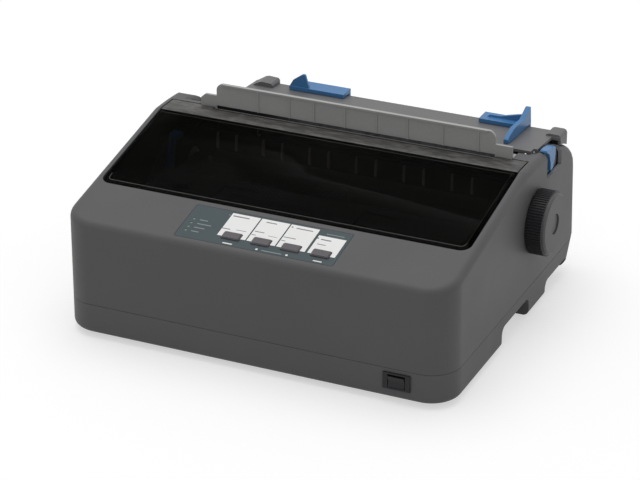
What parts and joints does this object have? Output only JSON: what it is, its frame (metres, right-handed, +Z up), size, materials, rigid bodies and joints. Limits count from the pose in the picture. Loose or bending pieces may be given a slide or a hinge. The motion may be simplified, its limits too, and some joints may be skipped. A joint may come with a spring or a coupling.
{
  "type": "dot matrix printer",
  "caption": "Desktop dot matrix printer with a sloping hinged smoked cover, ribbed tear-off bar, tilting rear paper guide with blue edge guides, push buttons and a platen knob",
  "frame": {"origin": "centre of the bounding box at table level, under the rubber feet", "axes": "+X to the right, towards the platen knob; +Y to the back; +Z up"},
  "size_m": [0.348, 0.2806, 0.154],
  "materials": {
    "case_grey": "fine-grained matte grey moulding",
    "smoke": "smoked translucent cover, glossy",
    "bar_grey": "satin grey moulding",
    "guide_blue": "satin blue moulding",
    "rubber_black": "ground black rubber",
    "steel": "turned and ground steel",
    "zinc": "zinc-plated pressed sheet",
    "nylon": "natural moulded nylon",
    "black_plastic": "black moulding",
    "panel_teal": "printed film overlay",
    "button_grey": "satin grey moulding",
    "board_green": "coated circuit board",
    "lamp": "clear light pipe",
    "socket_metal": "plated socket shells",
    "psu_tan": "bare circuit board with parts"
  },
  "bodies": {
    "case": {"lower_case": "case_grey", "upper_case": "case_grey", "rubber_feet": "rubber_black", "case_screws": "steel", "panel_overlay": "panel_teal", "panel_board": "board_green", "panel_lights": "lamp", "switch_bezel": "black_plastic", "chassis_tray": "zinc", "side_plate_left": "zinc", "side_plate_right": "zinc", "platen_bushings": "nylon", "feed_motor": "black_plastic", "tractor_rail": "steel", "paper_chute": "black_plastic", "paper_comb": "black_plastic", "carriage_rod": "steel", "carriage_rail": "zinc", "carriage_belt": "rubber_black", "carriage_motor": "black_plastic", "ribbon_cartridge": "black_plastic", "ribbon": "black_plastic", "main_board": "board_green", "power_supply": "psu_tan", "rear_sockets": "socket_metal", "mains_inlet": "black_plastic", "paper_guide_rod": "steel"},
    "cover": {"printer_cover": "smoke", "tear_off_bar": "bar_grey", "cover_hinge_pins": "steel"},
    "rear_guide": {"paper_guide": "case_grey"},
    "left_edge_guide": {"edge_guide_left": "guide_blue"},
    "right_edge_guide": {"edge_guide_right": "guide_blue"},
    "button_1": {"button_1": "button_grey"},
    "button_2": {"button_2": "button_grey"},
    "button_3": {"button_3": "button_grey"},
    "button_4": {"button_4": "button_grey"},
    "rocker": {"power_rocker": "black_plastic"},
    "platen": {"platen_roller": "rubber_black", "platen_shaft": "steel", "platen_gear": "nylon", "platen_knob": "case_grey"},
    "pinion": {"feed_pinion": "steel"},
    "idler": {"idler_gear": "nylon"},
    "tractor_drive": {"tractor_shaft": "steel", "tractor_gear": "nylon"},
    "left_tractor": {"tractor_left": "black_plastic"},
    "right_tractor": {"tractor_right": "black_plastic"},
    "left_sprocket": {"sprocket_left": "nylon"},
    "right_sprocket": {"sprocket_right": "nylon"},
    "left_flap": {"tractor_flap_left": "black_plastic"},
    "right_flap": {"tractor_flap_right": "black_plastic"},
    "rollers": {"pinch_rollers": "rubber_black"},
    "release": {"release_lever": "guide_blue"},
    "thickness": {"thickness_lever": "guide_blue"},
    "carriage": {"carriage": "black_plastic", "print_head": "black_plastic"},
    "belt_drive": {"drive_pulley": "nylon"},
    "belt_idler": {"idler_pulley": "nylon"},
    "ribbon_wheel": {"ribbon_knob": "black_plastic"}
  },
  "joints": [
    {"name": "cover_tilt", "type": "hinge", "parent": "case", "child": "cover", "pos_m": [-0.002, 0.05431, 0.12993], "axis": [-1, 0, 0], "range_deg": [0, 60]},
    {"name": "rear_guide_tilt", "type": "hinge", "parent": "case", "child": "rear_guide", "pos_m": [-0.002, 0.06481, 0.1278], "axis": [1, 0, 0], "range_deg": [0, 30]},
    {"name": "left_edge_guide_slide", "type": "slide", "parent": "rear_guide", "child": "left_edge_guide", "axis": [1, 0, 0], "range_m": [-0.01, 0.04]},
    {"name": "right_edge_guide_slide", "type": "slide", "parent": "rear_guide", "child": "right_edge_guide", "axis": [1, 0, 0], "range_m": [-0.05, 0.004]},
    {"name": "button_1_press", "type": "slide", "parent": "case", "child": "button_1", "axis": [0, 0.1994, -0.9799], "range_m": [0, 0.0008], "stiffness_N_per_m": 400, "springref_m": -0.0006},
    {"name": "button_2_press", "type": "slide", "parent": "case", "child": "button_2", "axis": [0, 0.1994, -0.9799], "range_m": [0, 0.0008], "stiffness_N_per_m": 400, "springref_m": -0.0006},
    {"name": "button_3_press", "type": "slide", "parent": "case", "child": "button_3", "axis": [0, 0.1994, -0.9799], "range_m": [0, 0.0008], "stiffness_N_per_m": 400, "springref_m": -0.0006},
    {"name": "button_4_press", "type": "slide", "parent": "case", "child": "button_4", "axis": [0, 0.1994, -0.9799], "range_m": [0, 0.0008], "stiffness_N_per_m": 400, "springref_m": -0.0006},
    {"name": "rocker_tilt", "type": "hinge", "parent": "case", "child": "rocker", "pos_m": [0.115, -0.13369, 0.0198], "axis": [-1, 0, 0], "range_deg": [0, 12]},
    {"name": "platen_turn", "type": "hinge", "parent": "case", "child": "platen", "pos_m": [-0.002, 0.04331, 0.084], "axis": [1, 0, 0], "continuous": true},
    {"name": "pinion_turn", "type": "hinge", "parent": "case", "child": "pinion", "pos_m": [-0.002, 0.05631, 0.06148], "axis": [1, 0, 0], "continuous": true},
    {"name": "idler_turn", "type": "hinge", "parent": "case", "child": "idler", "pos_m": [-0.002, 0.07135, 0.09466], "axis": [1, 0, 0], "continuous": true},
    {"name": "tractor_drive_turn", "type": "hinge", "parent": "case", "child": "tractor_drive", "pos_m": [-0.002, 0.09331, 0.096], "axis": [1, 0, 0], "continuous": true},
    {"name": "left_tractor_slide", "type": "slide", "parent": "case", "child": "left_tractor", "axis": [1, 0, 0], "range_m": [-0.004, 0.08]},
    {"name": "right_tractor_slide", "type": "slide", "parent": "case", "child": "right_tractor", "axis": [1, 0, 0], "range_m": [-0.08, 0.004]},
    {"name": "left_sprocket_turn", "type": "hinge", "parent": "left_tractor", "child": "left_sprocket", "pos_m": [-0.1163, 0.09331, 0.096], "axis": [1, 0, 0], "continuous": true},
    {"name": "right_sprocket_turn", "type": "hinge", "parent": "right_tractor", "child": "right_sprocket", "pos_m": [0.1123, 0.09331, 0.096], "axis": [1, 0, 0], "continuous": true},
    {"name": "left_flap_open", "type": "hinge", "parent": "left_tractor", "child": "left_flap", "pos_m": [-0.1163, 0.11631, 0.1056], "axis": [-1, 0, 0], "range_deg": [0, 28]},
    {"name": "right_flap_open", "type": "hinge", "parent": "right_tractor", "child": "right_flap", "pos_m": [0.1123, 0.11631, 0.1056], "axis": [-1, 0, 0], "range_deg": [0, 28]},
    {"name": "rollers_turn", "type": "hinge", "parent": "case", "child": "rollers", "pos_m": [-0.002, 0.03464, 0.06542], "axis": [1, 0, 0], "continuous": true},
    {"name": "release_lever_tilt", "type": "hinge", "parent": "case", "child": "release", "pos_m": [0.1502, 0.07581, 0.084], "axis": [-1, 0, 0], "range_deg": [0, 15]},
    {"name": "thickness_lever_tilt", "type": "hinge", "parent": "case", "child": "thickness", "pos_m": [-0.146, -0.00969, 0.066], "axis": [1, 0, 0], "range_deg": [-6, 6]},
    {"name": "carriage_travel", "type": "slide", "parent": "case", "child": "carriage", "axis": [1, 0, 0], "range_m": [-0.101, 0.101]},
    {"name": "belt_drive_turn", "type": "hinge", "parent": "case", "child": "belt_drive", "pos_m": [-0.126, -0.03369, 0.045], "axis": [0, 0, 1], "range_deg": [-730, 730]},
    {"name": "belt_idler_turn", "type": "hinge", "parent": "case", "child": "belt_idler", "pos_m": [0.122, -0.03369, 0.045], "axis": [0, 0, 1], "range_deg": [-730, 730]},
    {"name": "ribbon_wheel_turn", "type": "hinge", "parent": "case", "child": "ribbon_wheel", "pos_m": [-0.11, -0.04969, 0.086], "axis": [0, 0, 1], "continuous": true}
  ],
  "couplings": [
    {"joint": "pinion_turn", "follows": "platen_turn", "ratio": -3.3333},
    {"joint": "idler_turn", "follows": "platen_turn", "ratio": -2},
    {"joint": "tractor_drive_turn", "follows": "platen_turn", "ratio": 1.6667},
    {"joint": "left_sprocket_turn", "follows": "platen_turn", "ratio": 1.6667},
    {"joint": "right_sprocket_turn", "follows": "platen_turn", "ratio": 1.6667},
    {"joint": "rollers_turn", "follows": "platen_turn", "ratio": -2.3333},
    {"joint": "belt_drive_turn", "follows": "carriage_travel", "rad_per_m": -125},
    {"joint": "belt_idler_turn", "follows": "carriage_travel", "rad_per_m": -125}
  ]
}
